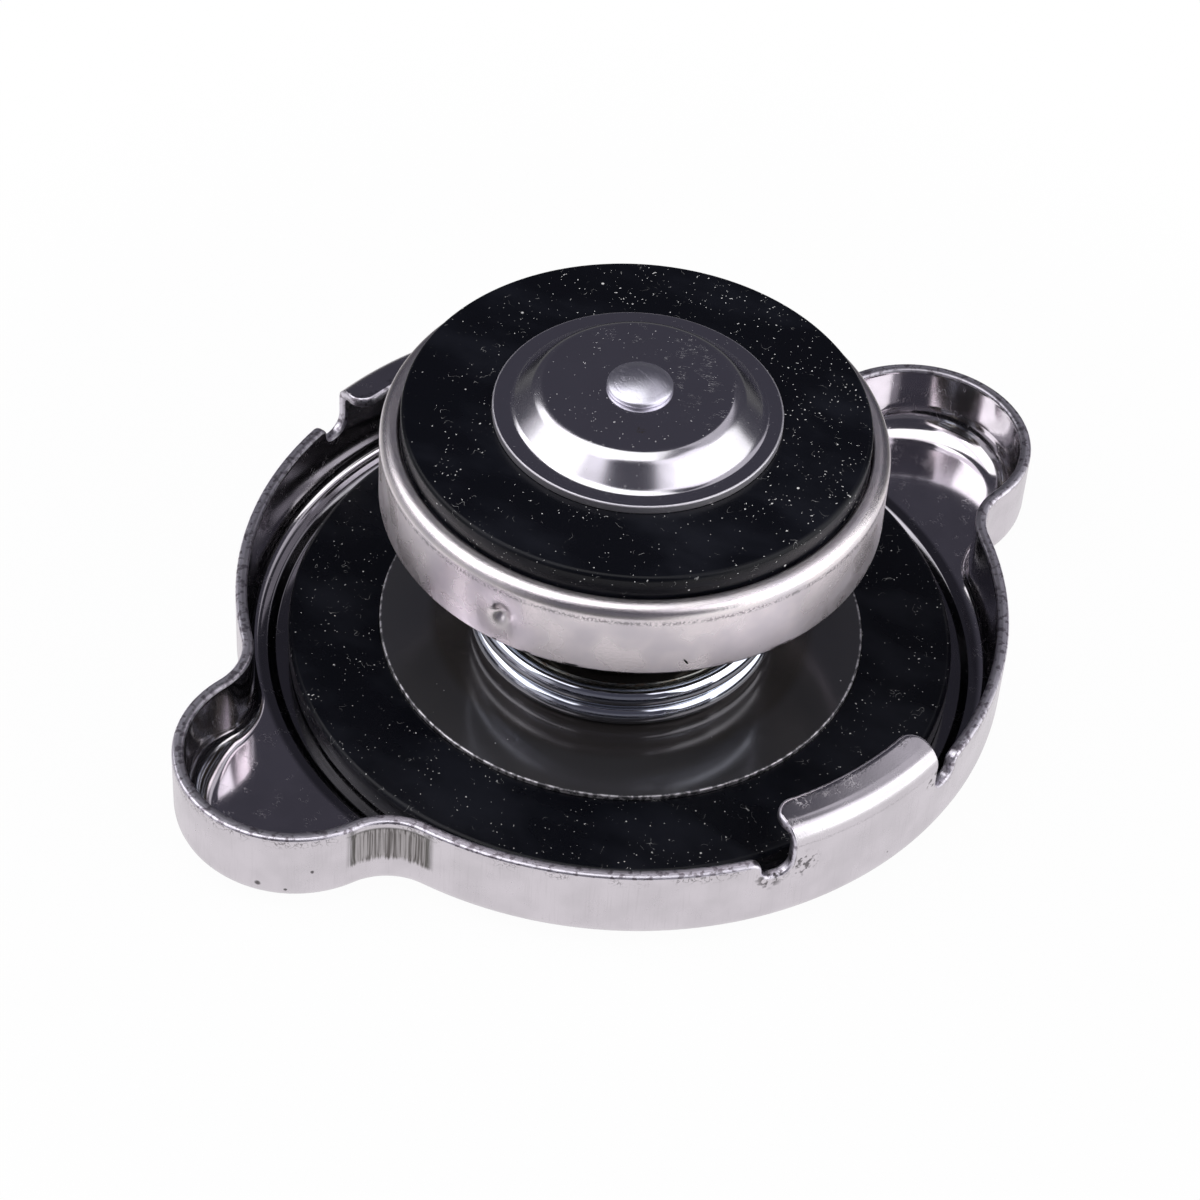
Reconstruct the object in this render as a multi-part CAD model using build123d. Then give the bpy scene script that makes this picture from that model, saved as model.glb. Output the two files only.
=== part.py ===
from build123d import *
import os
from math import acos, asin, atan2, cos, degrees, pi, radians, sin

# Spring-loaded filler cap, lying on its crown with the valve upwards.
# Millimetres, +Z up, the axis of the cap is Z, z = 0 is the resting face of the crown.
# The two finger ears lie along X and the two locking tabs along Y.

# Pressed shell: skirt, crown and finger ears
sheet = 1.0                  # thickness of the shell's steel
skirt_radius = 33.0          # outside of the round skirt
skirt_height = 7.7           # from the ears' floor, outside, to the rim
corner_radius = 2.0          # outer bend between floor and skirt
ear_centre = 33.5            # distance of each ear's round end from the axis
ear_radius = 10.05           # outside of the ear's round end
ear_fillet = 5.0             # hollow curve between ear and skirt
crown_step = 0.5             # how far the round crown stands proud of the ears' floor
crown_margin = 2.6           # from the skirt's outside to the upper edge of that step
step_run = 0.7               # width of the sloping step
rivet_pocket_radius = 6.6    # flat bottom of the pocket that hides the rivet's head
rivet_pocket_run = 1.8       # width of the pocket's sloping side

# Locking tabs and the notches beside them
tab_rise = 2.8               # height of the tab above the rim
tab_bend = 1.6               # outer bend of the tab
tab_reach = 3.55             # from the skirt's outside to the lip's edge, which is concentric with it
tab_half_width = 7.6
tab_corner = 1.5             # rounding of the lip's two corners
notch_width = 2.6
notch_depth = 1.8            # below the rim

# Mark left by the press tool on the hollow curve beside one ear
mark_width = 7.0
mark_height = 3.6
mark_depth = 0.12
mark_drop = 0.7              # from the rim to the mark

# Neck gasket and the disc that clamps it
gasket_thickness = 2.8
gasket_play = 1.1            # between the gasket and the foot of the crown's step
gasket_hole_gap = 0.6        # between the pocket's foot and the gasket's hole
gasket_edge = 0.35           # rounding of the gasket's edges
gasket_dent = 0.1            # how deep the clamped disc has sunk into the rubber
disc_radius = 20.8
disc_thickness = 0.5
disc_edge = 0.12

# Guide bell and its rivet
bell_radius = 7.6            # outside of the tube
bell_wall = 0.8
bell_lip = 1.7               # how far the lip stands out from the tube
bell_height = 13.9           # from the disc to the top of the lip
bell_corner = 1.2
rivet_shank = 2.4
rivet_head_radius = 4.2
rivet_head_height = 1.6
rivet_tail_radius = 3.8
rivet_tail_height = 1.3

# Pressure spring
wire = 2.0
coil_play = 0.9              # between the wire and the spring seat's well
coil_turns = 4.6
coil_closed_low = 1.4        # turns that lie together at the disc
coil_closed_high = 1.0
coil_start = 140.0           # direction of the wire's end on the disc
coil_gap = 0.06              # between turns that lie together
coil_ease = 0.12             # share of the open turns in which the climb begins or ends

# Spring seat, carried by the spring and stopped by the bell's lip
seat_wall = 0.8
seat_well_play = 0.2         # between the bell's lip and the well
seat_bend = 0.9              # outer bends of the well
seat_rim_gap = 0.4           # between the seat's rim and the cup's wall
seat_rim_height = 0.4        # upturned rim above the flange

# Valve cup
cup_radius = 21.0
cup_sheet = 0.9
cup_top = 25.85              # height of the bright ledge
cup_height = 6.95
cup_bend = 1.0
ledge_width = 1.58           # from the cup's outside to the ledge's inner edge
ledge_drop = 0.6             # depth of the seat that the rubber lies in
flow_hole_radius = 1.1
flow_hole_pitch = 5.6
flow_hole_count = 4
dimple_count = 3
dimple_angle = -158.0        # the dimple that faces forward, left of the middle
dimple_under = 1.2           # from the spring seat's flange down to the dimples' centres
dimple_radius = 0.8          # ball that presses the dimple
dimple_back = 0.2            # the ball's centre stands this far outside the wall

# Rubber seal of the valve
seal_fit = 0.12              # between the rubber and the ledge round it
seal_thickness = 2.55
seal_hole = 9.0
seal_edge = 0.3
seal_dent = 0.1              # how deep the vacuum plate has sunk into the rubber

# Vacuum valve
plate_lap = 2.9              # of the plate over the rubber, from the rubber's hole
plate_flange = 1.5           # width of the flat flange
plate_sheet = 0.8
dome_slope = 2.6             # width of the dome's sloping side
dome_rise = 2.15
dome_shoulder = 2.0          # outer bend at the dome's top
dome_root = 1.1              # outer bend at the dome's foot
stem_radius = 1.4
stem_head_radius = 2.7
stem_head_height = 1.1
stem_reach = 6.4             # from the cup's inner face to the washer
stem_tail_radius = 2.1
stem_tail_height = 0.8
washer_lap = 1.075           # of the washer beyond the small spring
washer_thickness = 0.6
small_wire = 0.45
small_play = 1.275           # between the stem and the small spring
small_turns = 5.0
small_closed = 1.0           # turns that lie together at each end

# Clearances
running_fit = 0.1            # radial, between a shaft and its hole
seated_gap = 0.02            # between a rivet or a spring's end and the plates that it meets
face_gap = 0.05              # between flat faces of bodies that slide or turn
dent_gap = 0.1               # between a sunk plate's edge and the rubber round it

# Heights that follow from the sizes above
floor_z = crown_step + sheet
rim_z = crown_step + skirt_height
tab_top = rim_z + tab_rise
gasket_top = sheet + gasket_thickness
disc_bottom = gasket_top - gasket_dent
disc_top = disc_bottom + disc_thickness
bell_floor = disc_top + bell_wall
bell_lip_top = disc_top + bell_height
pocket_floor = disc_bottom - sheet
cup_bottom = cup_top - cup_height
seal_floor = cup_top - ledge_drop
cup_inner_face = seal_floor - cup_sheet
seal_top = seal_floor + seal_thickness
plate_bottom = seal_top - seal_dent
dome_z = plate_bottom + plate_sheet + dome_rise
seat_flange_top = cup_inner_face - face_gap - seat_rim_height
seat_flange_bottom = seat_flange_top - seat_wall
well_floor_top = bell_lip_top - bell_wall - face_gap
washer_top = cup_inner_face - stem_reach

# Radii that follow from the sizes above
crown_edge = skirt_radius - crown_margin
crown_foot = crown_edge - step_run
gasket_radius = crown_foot - gasket_play
tab_lip = skirt_radius - tab_reach
bell_lip_radius = bell_radius + bell_lip
seat_well_radius = bell_lip_radius + seat_well_play + seat_wall
coil_radius = seat_well_radius + coil_play + wire / 2
cup_bore = cup_radius - cup_sheet
seat_rim_radius = cup_bore - seat_rim_gap
ledge_inner = cup_radius - ledge_width
seal_radius = ledge_inner - seal_fit
plate_radius = seal_hole + plate_lap
dome_foot = plate_radius - plate_flange
dome_top = dome_foot - dome_slope
small_coil_radius = stem_radius + small_play + small_wire / 2
washer_radius = small_coil_radius + small_wire / 2 + washer_lap


def revolved(*edges):
    """A closed profile in the XZ plane turned once about the axis."""
    return revolve(make_face(Wire(edges)), Axis.Z)


def profile(*points):
    """The profile through plain corner points, turned once about the axis."""
    corners = [(x, 0, z) for x, z in points]
    return revolve(make_face(Polyline(*corners, close=True)), Axis.Z)


def rounded_profile(corners, radii):
    """Closed profile in the XZ plane whose corners have the given radii, turned about the axis."""
    points = [(x, 0, z) for x, z in corners]
    return revolve(make_face(FilletPolyline(*points, radius=radii, close=True)), Axis.Z)


def ring(inner, outer, low, high, edge=0.0):
    """Flat ring about the axis, its two outer edges rounded."""
    corners = [(inner, low), (outer, low), (outer, high), (inner, high)]
    return rounded_profile(corners, [0, edge, edge, 0])


def fillet_place():
    """Angle of the hollow fillet's tangent point on the skirt, and the fillet's centre."""
    to_fillet = skirt_radius + ear_fillet
    ear_to_fillet = ear_radius + ear_fillet
    cosine = (to_fillet**2 + ear_centre**2 - ear_to_fillet**2) / (2 * to_fillet * ear_centre)
    angle = degrees(acos(cosine))
    return angle, to_fillet * cos(radians(angle)), to_fillet * sin(radians(angle))


def outline(inset):
    """The cap seen from above, moved inwards by inset: skirt arcs, ear arcs and hollow fillets."""
    skirt_from, fx, fy = fillet_place()
    ear_half = degrees(atan2(fy, fx - ear_centre))
    hollow_sweep = ear_half - skirt_from
    arcs = []
    for turn in (0, 180):
        ear = CenterArc((ear_centre, 0), ear_radius - inset, -ear_half, 2 * ear_half)
        skirt = CenterArc((0, 0), skirt_radius - inset, skirt_from, 180 - 2 * skirt_from)
        hollow = CenterArc((fx, fy), ear_fillet + inset, 180 + skirt_from, hollow_sweep)
        for edge in (ear, skirt, hollow, mirror(hollow, Plane.XZ)):
            arcs += edge.rotate(Axis.Z, turn).edges()
    return make_face(Wire(arcs))


def block(inset, low, high, bend):
    """The cap's outline as a block, with its lower edge rounded."""
    solid = extrude(Pos(0, 0, low) * outline(inset), high - low)
    return fillet(solid.edges().group_by(Axis.Z)[0], bend)


def crown():
    """The round crown: raised face, sloping step and the pocket for the rivet's head."""
    pocket_foot = rivet_pocket_radius + rivet_pocket_run
    join = crown_edge + step_run
    hole = rivet_shank + seated_gap
    inner = [
        (hole, disc_bottom),
        (rivet_pocket_radius + sheet / 2, disc_bottom),
        (pocket_foot + sheet / 2, sheet),
        (crown_foot, sheet),
        (crown_edge, floor_z),
        (join, floor_z),
    ]
    outer = [
        (join, crown_step),
        (crown_edge + sheet / 4, crown_step),
        (crown_foot + sheet / 4, 0),
        (pocket_foot - sheet / 4, 0),
        (rivet_pocket_radius - sheet / 4, pocket_floor),
        (hole, pocket_floor),
    ]
    return profile(*inner, *outer), join


def lock_tab():
    """One tab on the -Y side: the skirt carried up, bent inwards and cut off by a ring."""
    bend_in = tab_bend - sheet
    foot = rim_z - notch_depth
    wall = skirt_radius - sheet
    section = [
        Line((wall, 0, foot), (skirt_radius, 0, foot)),
        Line((skirt_radius, 0, foot), (skirt_radius, 0, tab_top - tab_bend)),
        quarter(skirt_radius - tab_bend, tab_top - tab_bend, tab_bend),
        Line((skirt_radius - tab_bend, 0, tab_top), (tab_lip, 0, tab_top)),
        Line((tab_lip, 0, tab_top), (tab_lip, 0, tab_top - sheet)),
        Line((tab_lip, 0, tab_top - sheet), (skirt_radius - tab_bend, 0, tab_top - sheet)),
        quarter(skirt_radius - tab_bend, tab_top - tab_bend, bend_in),
        Line((wall, 0, tab_top - tab_bend), (wall, 0, foot)),
    ]
    band = revolved(*section)
    plan = Circle(skirt_radius + sheet) - Circle(tab_lip)
    plan &= Pos(0, -skirt_radius) * Rectangle(2 * tab_half_width, skirt_radius)
    plan = fillet(plan.vertices().sort_by_distance((0, 0, 0))[:2], tab_corner)
    return band & extrude(Pos(0, 0, foot) * plan, tab_top - foot + sheet)


def quarter(x, z, radius):
    """Quarter circle in the XZ plane about (x, z), from straight out to straight up."""
    middle = radius * cos(pi / 4)
    return ThreePointArc((x + radius, 0, z), (x + middle, 0, z + middle), (x, 0, z + radius))


def notch():
    """Cutter for one round-bottomed notch, on the +X side of the skirt."""
    half = notch_width / 2
    bottom = rim_z - notch_depth
    height = tab_rise + notch_depth
    across = Rot(0, 90, 0) * Cylinder(half, 4 * sheet)
    slot = Box(4 * sheet, notch_width, height, align=(Align.CENTER, Align.CENTER, Align.MIN))
    place = Pos(skirt_radius - sheet / 2, 0, bottom + half)
    return place * (across + slot)


def press_mark():
    """Shallow print of the press tool on the hollow curve in front of the -X ear."""
    skirt_from, fx, fy = fillet_place()
    ring = Cylinder(ear_fillet + mark_depth, mark_height) - Cylinder(ear_fillet - sheet, mark_height)
    span = Box(mark_width, mark_width, mark_height)
    middle = rim_z - mark_drop - mark_height / 2
    toward_ear = radians(180 + skirt_from + degrees(atan2(fy, fx - ear_centre)) / 3)
    wedge = Pos(ear_fillet * cos(toward_ear), ear_fillet * sin(toward_ear), 0) * span
    return Pos(-fx, -fy, middle) * Rot(0, 0, 180) * (ring & wedge)


def cap_shell():
    """One pressed piece: crown, floor, ears, skirt, two tabs and four notches."""
    body = block(0, crown_step, rim_z, corner_radius)
    body -= block(sheet, floor_z, rim_z + sheet, corner_radius - sheet)
    body -= press_mark()
    middle, join = crown()
    body -= Pos(0, 0, crown_step) * Cylinder(join, 2 * sheet)
    body += middle
    notch_angle = degrees(asin(tab_half_width / skirt_radius) + asin(notch_width / 2 / skirt_radius))
    for side in (-90, 90):
        body += Rot(0, 0, side + 90) * lock_tab()
        for shift in (-notch_angle, notch_angle):
            body -= Rot(0, 0, side + shift) * notch()
    return body


def rubber_ring(hole, radius, low, high, edge, dent_radius, dent):
    """Rubber ring with rounded outer edges, its upper face dented by the plate that lies on it."""
    wall = dent_radius + dent_gap
    corners = [
        (hole, low),
        (radius, low),
        (radius, high),
        (wall, high),
        (wall, high - dent),
        (hole, high - dent),
    ]
    return rounded_profile(corners, [0, edge, edge, 0, 0, 0])


def neck_gasket():
    """Flat rubber ring that the filler neck's flange presses on."""
    hole = rivet_pocket_radius + rivet_pocket_run + sheet / 2 + gasket_hole_gap
    return rubber_ring(hole, gasket_radius, sheet, gasket_top, gasket_edge, disc_radius, gasket_dent)


def clamp_disc():
    """Bright disc between the gasket and the spring."""
    return ring(rivet_shank + seated_gap, disc_radius, disc_bottom, disc_top, disc_edge)


def guide_bell():
    """Deep-drawn cup with an outward lip, riveted to the crown."""
    inner = bell_radius - bell_wall
    lip_bottom = bell_lip_top - bell_wall
    corners = [
        (rivet_shank + seated_gap, disc_top),
        (bell_radius, disc_top),
        (bell_radius, lip_bottom),
        (bell_lip_radius, lip_bottom),
        (bell_lip_radius, bell_lip_top),
        (inner, bell_lip_top),
        (inner, bell_floor),
        (rivet_shank + seated_gap, bell_floor),
    ]
    radii = [0, bell_corner, 0.3, 0.2, 0.2, bell_wall, bell_corner - bell_wall, 0]
    return rounded_profile(corners, radii)


def centre_rivet():
    """Rivet through crown, disc and bell: head in the crown's pocket, tail inside the bell."""
    head = rounded_button(rivet_head_radius, rivet_head_height)
    tail = rounded_button(rivet_tail_radius, rivet_tail_height)
    shank = Cylinder(rivet_shank, bell_floor - pocket_floor)
    shank = Pos(0, 0, (bell_floor + pocket_floor) / 2) * shank
    return Pos(0, 0, bell_floor) * tail + shank + Pos(0, 0, pocket_floor) * Rot(180, 0, 0) * head


def rounded_button(radius, height):
    """Domed rivet head standing on z = 0: a short straight edge under part of a ball."""
    edge = height / 3
    crown = height - edge
    ball = (radius**2 + crown**2) / (2 * crown)
    dome = Pos(0, 0, height - ball) * Sphere(ball)
    return dome & Pos(0, 0, height / 2) * Cylinder(radius, height)


def eased_climb(share):
    """From 0 to 1 in a straight climb, with a short curved run at each end."""
    steep = 1 / (1 - coil_ease)
    if share < coil_ease:
        return steep * share**2 / (2 * coil_ease)
    if share > 1 - coil_ease:
        return 1 - steep * (1 - share) ** 2 / (2 * coil_ease)
    return steep * (share - coil_ease / 2)


def end_turn(turn):
    """From 0 to 1 over one turn: flat for half a turn, then up over the wire's own end."""
    climb = min(max(2 * turn - 1, 0), 1)
    return climb**2 * (3 - 2 * climb)


def coil(radius, thickness, low, high, turns, closed_low, closed_high, start=0.0):
    """Round wire wound about Z between two heights, its end turns lying together."""
    pitch = thickness + coil_gap
    bottom = low + seated_gap + thickness / 2
    spare = high - seated_gap - thickness / 2 - bottom - 2 * pitch
    opening = turns - closed_low - closed_high
    steps = round(turns * 16)
    points = []
    for index in range(steps + 1):
        turn = turns * index / steps
        share = min(max((turn - closed_low) / opening, 0), 1)
        ends = end_turn(turn) + 1 - end_turn(turns - turn)
        z = bottom + pitch * ends + spare * eased_climb(share)
        angle = radians(start) + 2 * pi * turn
        points.append((radius * cos(angle), radius * sin(angle), z))
    path = Spline(*points)
    end = Plane(origin=path @ 0, z_dir=path % 0)
    return sweep(end * Circle(thickness / 2), path)


def main_spring():
    """Pressure spring between the disc and the spring seat."""
    closed = (coil_closed_low, coil_closed_high)
    return coil(coil_radius, wire, disc_top, seat_flange_bottom, coil_turns, *closed, coil_start)


def spring_seat():
    """Hat-shaped plate: its flange rests on the spring, its well hangs on the bell's lip."""
    well_inner = seat_well_radius - seat_wall
    well_floor = well_floor_top - seat_wall
    hole = bell_radius + running_fit
    rim_top = seat_flange_top + seat_rim_height
    corners = [
        (hole, well_floor),
        (seat_well_radius, well_floor),
        (seat_well_radius, seat_flange_bottom),
        (seat_rim_radius, seat_flange_bottom),
        (seat_rim_radius, rim_top),
        (seat_rim_radius - seat_wall, rim_top),
        (seat_rim_radius - seat_wall, seat_flange_top),
        (well_inner, seat_flange_top),
        (well_inner, well_floor_top),
        (hole, well_floor_top),
    ]
    bend_in = seat_bend - seat_wall
    radii = [0, seat_bend, bend_in, seat_rim_height, 0.1, 0.1, 0.1, seat_bend, bend_in, seat_wall / 2]
    return rounded_profile(corners, radii)


def valve_cup():
    """Cup pressed from one sheet: wall, ledge, seat for the rubber, stem hole, flow holes, dimples."""
    ledge_under = cup_top - cup_sheet
    stem_hole = stem_radius + running_fit
    corners = [
        (stem_hole, cup_inner_face),
        (ledge_inner + cup_sheet / 3, cup_inner_face),
        (ledge_inner + cup_sheet / 3, ledge_under),
        (cup_bore, ledge_under),
        (cup_bore, cup_bottom),
        (cup_radius, cup_bottom),
        (cup_radius, cup_top),
        (ledge_inner, cup_top),
        (ledge_inner, seal_floor),
        (stem_hole, seal_floor),
    ]
    radii = [0, 0, 0, 0.1, 0.2, 0.2, cup_bend, 0.2, 0, 0]
    cup = rounded_profile(corners, radii)
    flow = Pos(flow_hole_pitch, 0, seal_floor) * Cylinder(flow_hole_radius, 4 * cup_sheet)
    for index in range(flow_hole_count):
        cup -= Rot(0, 0, 45 + 360 / flow_hole_count * index) * flow
    ball = Pos(cup_radius + dimple_back, 0, seat_flange_bottom - dimple_under)
    inside = Pos(0, 0, cup_bottom) * Cylinder(cup_radius, 2 * cup_height)
    for index in range(dimple_count):
        turn = Rot(0, 0, dimple_angle + 360 / dimple_count * index)
        cup += inside & (turn * ball * Sphere(dimple_radius + cup_sheet))
        cup -= turn * ball * Sphere(dimple_radius)
    return cup


def valve_seal():
    """Thick rubber ring that seats on the neck's inner ledge."""
    return rubber_ring(seal_hole, seal_radius, seal_floor, seal_top, seal_edge, plate_radius, seal_dent)


def vacuum_plate():
    """Domed plate whose flange lies on the rubber."""
    hole = stem_radius + seated_gap
    under = dome_z - plate_sheet
    flange_top = plate_bottom + plate_sheet
    corners = [
        (hole, under),
        (dome_top, under),
        (dome_foot - plate_sheet / 2, plate_bottom),
        (plate_radius, plate_bottom),
        (plate_radius, flange_top),
        (dome_foot, flange_top),
        (dome_top + plate_sheet / 2, dome_z),
        (hole, dome_z),
    ]
    inner = [0, dome_shoulder - plate_sheet, dome_root + plate_sheet, 0.15]
    return rounded_profile(corners, inner + [0.15, dome_root, dome_shoulder, 0])


def vacuum_stem():
    """Rivet that hangs from the vacuum plate through the cup, with its head on the dome."""
    washer_bottom = washer_top - washer_thickness
    head = rounded_button(stem_head_radius, stem_head_height)
    tail = Rot(180, 0, 0) * rounded_button(stem_tail_radius, stem_tail_height)
    shank = Cylinder(stem_radius, dome_z - washer_bottom)
    shank = Pos(0, 0, (dome_z + washer_bottom) / 2) * shank
    return Pos(0, 0, dome_z) * head + shank + Pos(0, 0, washer_bottom) * tail


def stem_washer():
    """Washer at the stem's end that the small spring pushes down on."""
    return ring(stem_radius + seated_gap, washer_radius, washer_top - washer_thickness, washer_top)


def vacuum_spring():
    """Small spring round the stem, between the cup's inner face and the washer."""
    closed = (small_closed, small_closed)
    return coil(small_coil_radius, small_wire, washer_top, cup_inner_face, small_turns, *closed)


pieces = {
    "cap_shell": cap_shell,
    "neck_gasket": neck_gasket,
    "clamp_disc": clamp_disc,
    "guide_bell": guide_bell,
    "centre_rivet": centre_rivet,
    "main_spring": main_spring,
    "spring_seat": spring_seat,
    "valve_cup": valve_cup,
    "valve_seal": valve_seal,
    "vacuum_plate": vacuum_plate,
    "vacuum_stem": vacuum_stem,
    "stem_washer": stem_washer,
    "vacuum_spring": vacuum_spring,
}

os.makedirs("parts", exist_ok=True)
for name, make in pieces.items():
    export_step(make(), f"parts/{name}.step")
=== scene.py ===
from math import acos, asin, atan2, cos, degrees, pi, radians, sin, sqrt, tan

import bpy
import numpy as np
from mathutils import Matrix, Vector


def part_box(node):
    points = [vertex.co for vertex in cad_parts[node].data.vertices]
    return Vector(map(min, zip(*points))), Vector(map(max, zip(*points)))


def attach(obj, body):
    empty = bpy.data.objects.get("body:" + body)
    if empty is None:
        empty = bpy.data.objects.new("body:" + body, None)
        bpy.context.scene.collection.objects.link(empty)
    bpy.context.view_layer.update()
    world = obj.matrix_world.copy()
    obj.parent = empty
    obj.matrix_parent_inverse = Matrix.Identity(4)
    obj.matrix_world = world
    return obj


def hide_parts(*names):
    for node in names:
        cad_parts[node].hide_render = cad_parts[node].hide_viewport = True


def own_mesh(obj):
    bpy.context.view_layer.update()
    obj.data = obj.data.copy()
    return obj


# Spring-loaded filler cap lying on its crown, seen from above, 40 degrees to the left of its front.
# Lengths are millimetres until a mesh is made, z = 0 is the resting face, the cap's axis is Z.

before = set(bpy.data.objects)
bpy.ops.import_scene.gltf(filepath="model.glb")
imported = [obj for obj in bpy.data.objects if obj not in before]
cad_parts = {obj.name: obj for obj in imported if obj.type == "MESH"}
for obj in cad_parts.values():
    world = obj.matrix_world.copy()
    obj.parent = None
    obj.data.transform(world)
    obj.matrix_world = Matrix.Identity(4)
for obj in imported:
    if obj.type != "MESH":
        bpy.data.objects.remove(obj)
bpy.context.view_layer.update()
MM = 0.001


def node_box(node):
    """Lowest and highest corner of a node at rest, in millimetres."""
    low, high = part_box(node)
    return np.array(low) / MM, np.array(high) / MM


# Sizes read from the frame
_, shell_high = node_box("cap_shell")
gasket_low, gasket_high = node_box("neck_gasket")
disc_low, disc_high = node_box("clamp_disc")
bell_low, bell_high = node_box("guide_bell")
rivet_low, rivet_high = node_box("centre_rivet")
seat_low, seat_high = node_box("spring_seat")
cup_low, cup_high = node_box("valve_cup")
seal_low, seal_high = node_box("valve_seal")
plate_low, plate_high = node_box("vacuum_plate")
stem_low, stem_high = node_box("vacuum_stem")
washer_low, washer_high = node_box("stem_washer")

# Shell, sizes that the boxes don't give
sheet = 1.0
skirt_radius = shell_high[1]
crown_step = 0.5
rim_z = 8.2
corner_radius = 2.0
inner_corner_radius = corner_radius - sheet
ear_inner_corner = 2.6
ear_blend_from, ear_blend_run = 32.0, 8.0
ear_radius = 10.05
ear_centre = shell_high[0] - ear_radius
ear_fillet = 5.0
crown_edge = 30.4
step_run = 0.7
pocket_radius = 6.6
pocket_run = 1.8
shank_radius = 2.42
tab_bend = 1.6
tab_bend_z = shell_high[2] - tab_bend
lip_turn = radians(84)  # a little short of a right angle, as the reflections on the lip show
tab_lip = 29.45
tab_half_width = 7.6
tab_corner = 1.5
notch_width = 2.6
notch_depth = 1.8
notch_near_bend = 1.3
notch_far_bend = 0.85
notch_rim_bend = 0.9
cut_edge = 0.28
mark_half_width = 3.4
mark_height = 3.6
mark_depth = 0.12
mark_drop = 0.7
mark_fade = 0.3
mark_middle = rim_z - mark_drop - mark_height / 2
pocket_floor = disc_low[2] - sheet

# Wear and painted shade that belong to a place: x, y, z and reach, or radii
notch_dirt_places = [(-9.4, -31.6, 6.4, 1.6), (-6.6, -32.3, 7.0, 1.8), (7.2, -32.2, 8.2, 1.3)]
ear_nick_places = [(-41.4, -6.2, 2.6, 0.34), (-39.8, -7.8, 2.2, 0.2), (-38.0, -9.0, 4.3, 0.2)]
lip_scrape_places = [(-0.55, -30.3, 11.6, 1.3), (-5.1, -29.8, 11.6, 1.1), (-3.0, -30.2, 11.6, 0.8)]
cup_nick_x, cup_nick_z = -9.16, 20.11
cup_scar_low, cup_scar_high = 18.9, 19.15
dome_fibre_place = (-3.12, -4.19, plate_high[2], 0.5)
# painted shade on the recess floor between the gasket and the crown's step lies between these radii
recess_shade_inner, recess_shade_outer = 28.6, 31.0
# the clamp disc is darker inside this radius
darker_middle_radius = 17.0


# Meshes

def about_axis(radius, angle, z):
    """Points at a radius and an angle about the axis: radius times cos and sin of the angle, and z."""
    return np.stack(np.broadcast_arrays(radius * np.cos(angle), radius * np.sin(angle), z), -1)


def run_along(line):
    """Distance travelled along a line of points, at each of them."""
    return np.r_[0, np.cumsum(np.hypot(*np.diff(line, axis=0).T))]


def rounded(corners, radii, closed=False, step=15.0):
    """Polyline whose corners are arcs: each arc touches both sides, its centre lies on the bisector."""
    corners = np.array(corners, float)
    count = len(corners)
    points = []
    for index in range(count):
        here = corners[index]
        ends = not closed and index in (0, count - 1)
        radius = 0 if ends else radii[index]
        if radius == 0:
            points.append(here)
            continue
        before = corners[index - 1] - here
        after = corners[(index + 1) % count] - here
        before /= np.hypot(*before)
        after /= np.hypot(*after)
        half = acos(np.clip(before @ after, -1, 1)) / 2
        middle = (before + after) / np.hypot(*(before + after))
        centre = here + middle * radius / sin(half)
        start = here + before * radius / tan(half) - centre
        turn = pi - 2 * half
        side = np.sign(before[0] * after[1] - before[1] * after[0])
        parts = max(2, round(degrees(turn) / step))
        for angle in np.linspace(0, -side * turn, parts + 1):
            c, s = cos(angle), sin(angle)
            points.append(centre + (c * start[0] - s * start[1], s * start[0] + c * start[1]))
    return np.array(points)


def put_in_scene(name, data):
    """An object of the scene that shows a mesh, a lamp or a camera."""
    thing = bpy.data.objects.new(name, data)
    bpy.context.scene.collection.objects.link(thing)
    return thing


def make_piece(name, points, faces, finish):
    """Closed mesh from points in millimetres: faces turned outwards, normals weighted by face area."""
    mesh = bpy.data.meshes.new(name)
    volume = 0.0
    for corner in range(1, faces.shape[1] - 1):
        a, b, c = points[faces[:, 0]], points[faces[:, corner]], points[faces[:, corner + 1]]
        volume += (a * np.cross(b, c)).sum()
    if volume < 0:
        faces = faces[:, ::-1]
    polygons = [[v for k, v in enumerate(face) if v != face[k - 1]] for face in faces.tolist()]
    mesh.from_pydata((points * MM).tolist(), [], polygons)
    mesh.polygons.foreach_set("use_smooth", np.ones(len(mesh.polygons), bool))
    one_way = points[faces[:, 2]] - points[faces[:, 0]]
    diagonals = np.cross(one_way, points[faces[:, -1]] - points[faces[:, 1]])
    normals = np.zeros_like(points)
    for corner in range(faces.shape[1]):
        np.add.at(normals, faces[:, corner], diagonals)
    normals /= np.maximum(np.linalg.norm(normals, axis=1, keepdims=True), 1e-12)
    mesh.normals_split_custom_set_from_vertices(normals.tolist())
    mesh.materials.append(finish)
    return put_in_scene(name, mesh)


def grid_faces(rows, columns, wrap_rows):
    """Quads between neighbouring points of a grid that is closed round its columns."""
    index = np.arange(rows * columns).reshape(rows, columns)
    up = np.roll(index, -1, 0)
    across = np.roll(index, -1, 1)
    both = np.roll(up, -1, 1)
    faces = np.stack([index, across, both, up], -1)
    faces = faces if wrap_rows else faces[:-1]
    return faces.reshape(-1, 4)


def grid_piece(name, points, finish, wrap_rows=True):
    """Piece from a grid of points; a first and last row that lie on one spot each become a pole."""
    rows, columns = points.shape[:2]
    flat = points.reshape(-1, 3)
    faces = grid_faces(rows, columns, wrap_rows)
    if not wrap_rows:
        faces = np.where(faces < columns, 0, faces)
        last = (rows - 1) * columns
        faces = np.where(faces >= last, last, faces)
        used, compact = np.unique(faces, return_inverse=True)
        flat = flat[used]
        faces = compact.reshape(-1, 4)
    return make_piece(name, flat, faces, finish)


def turned(name, section, finish, columns=288):
    """Section of radius and height, closed or with both ends on the axis, turned once about the axis."""
    angles = np.linspace(0, 2 * pi, columns, endpoint=False)
    points = about_axis(section[:, :1], angles, section[:, 1:])
    on_axis = section[0, 0] == 0
    return grid_piece(name, points, finish, wrap_rows=not on_axis)


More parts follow.
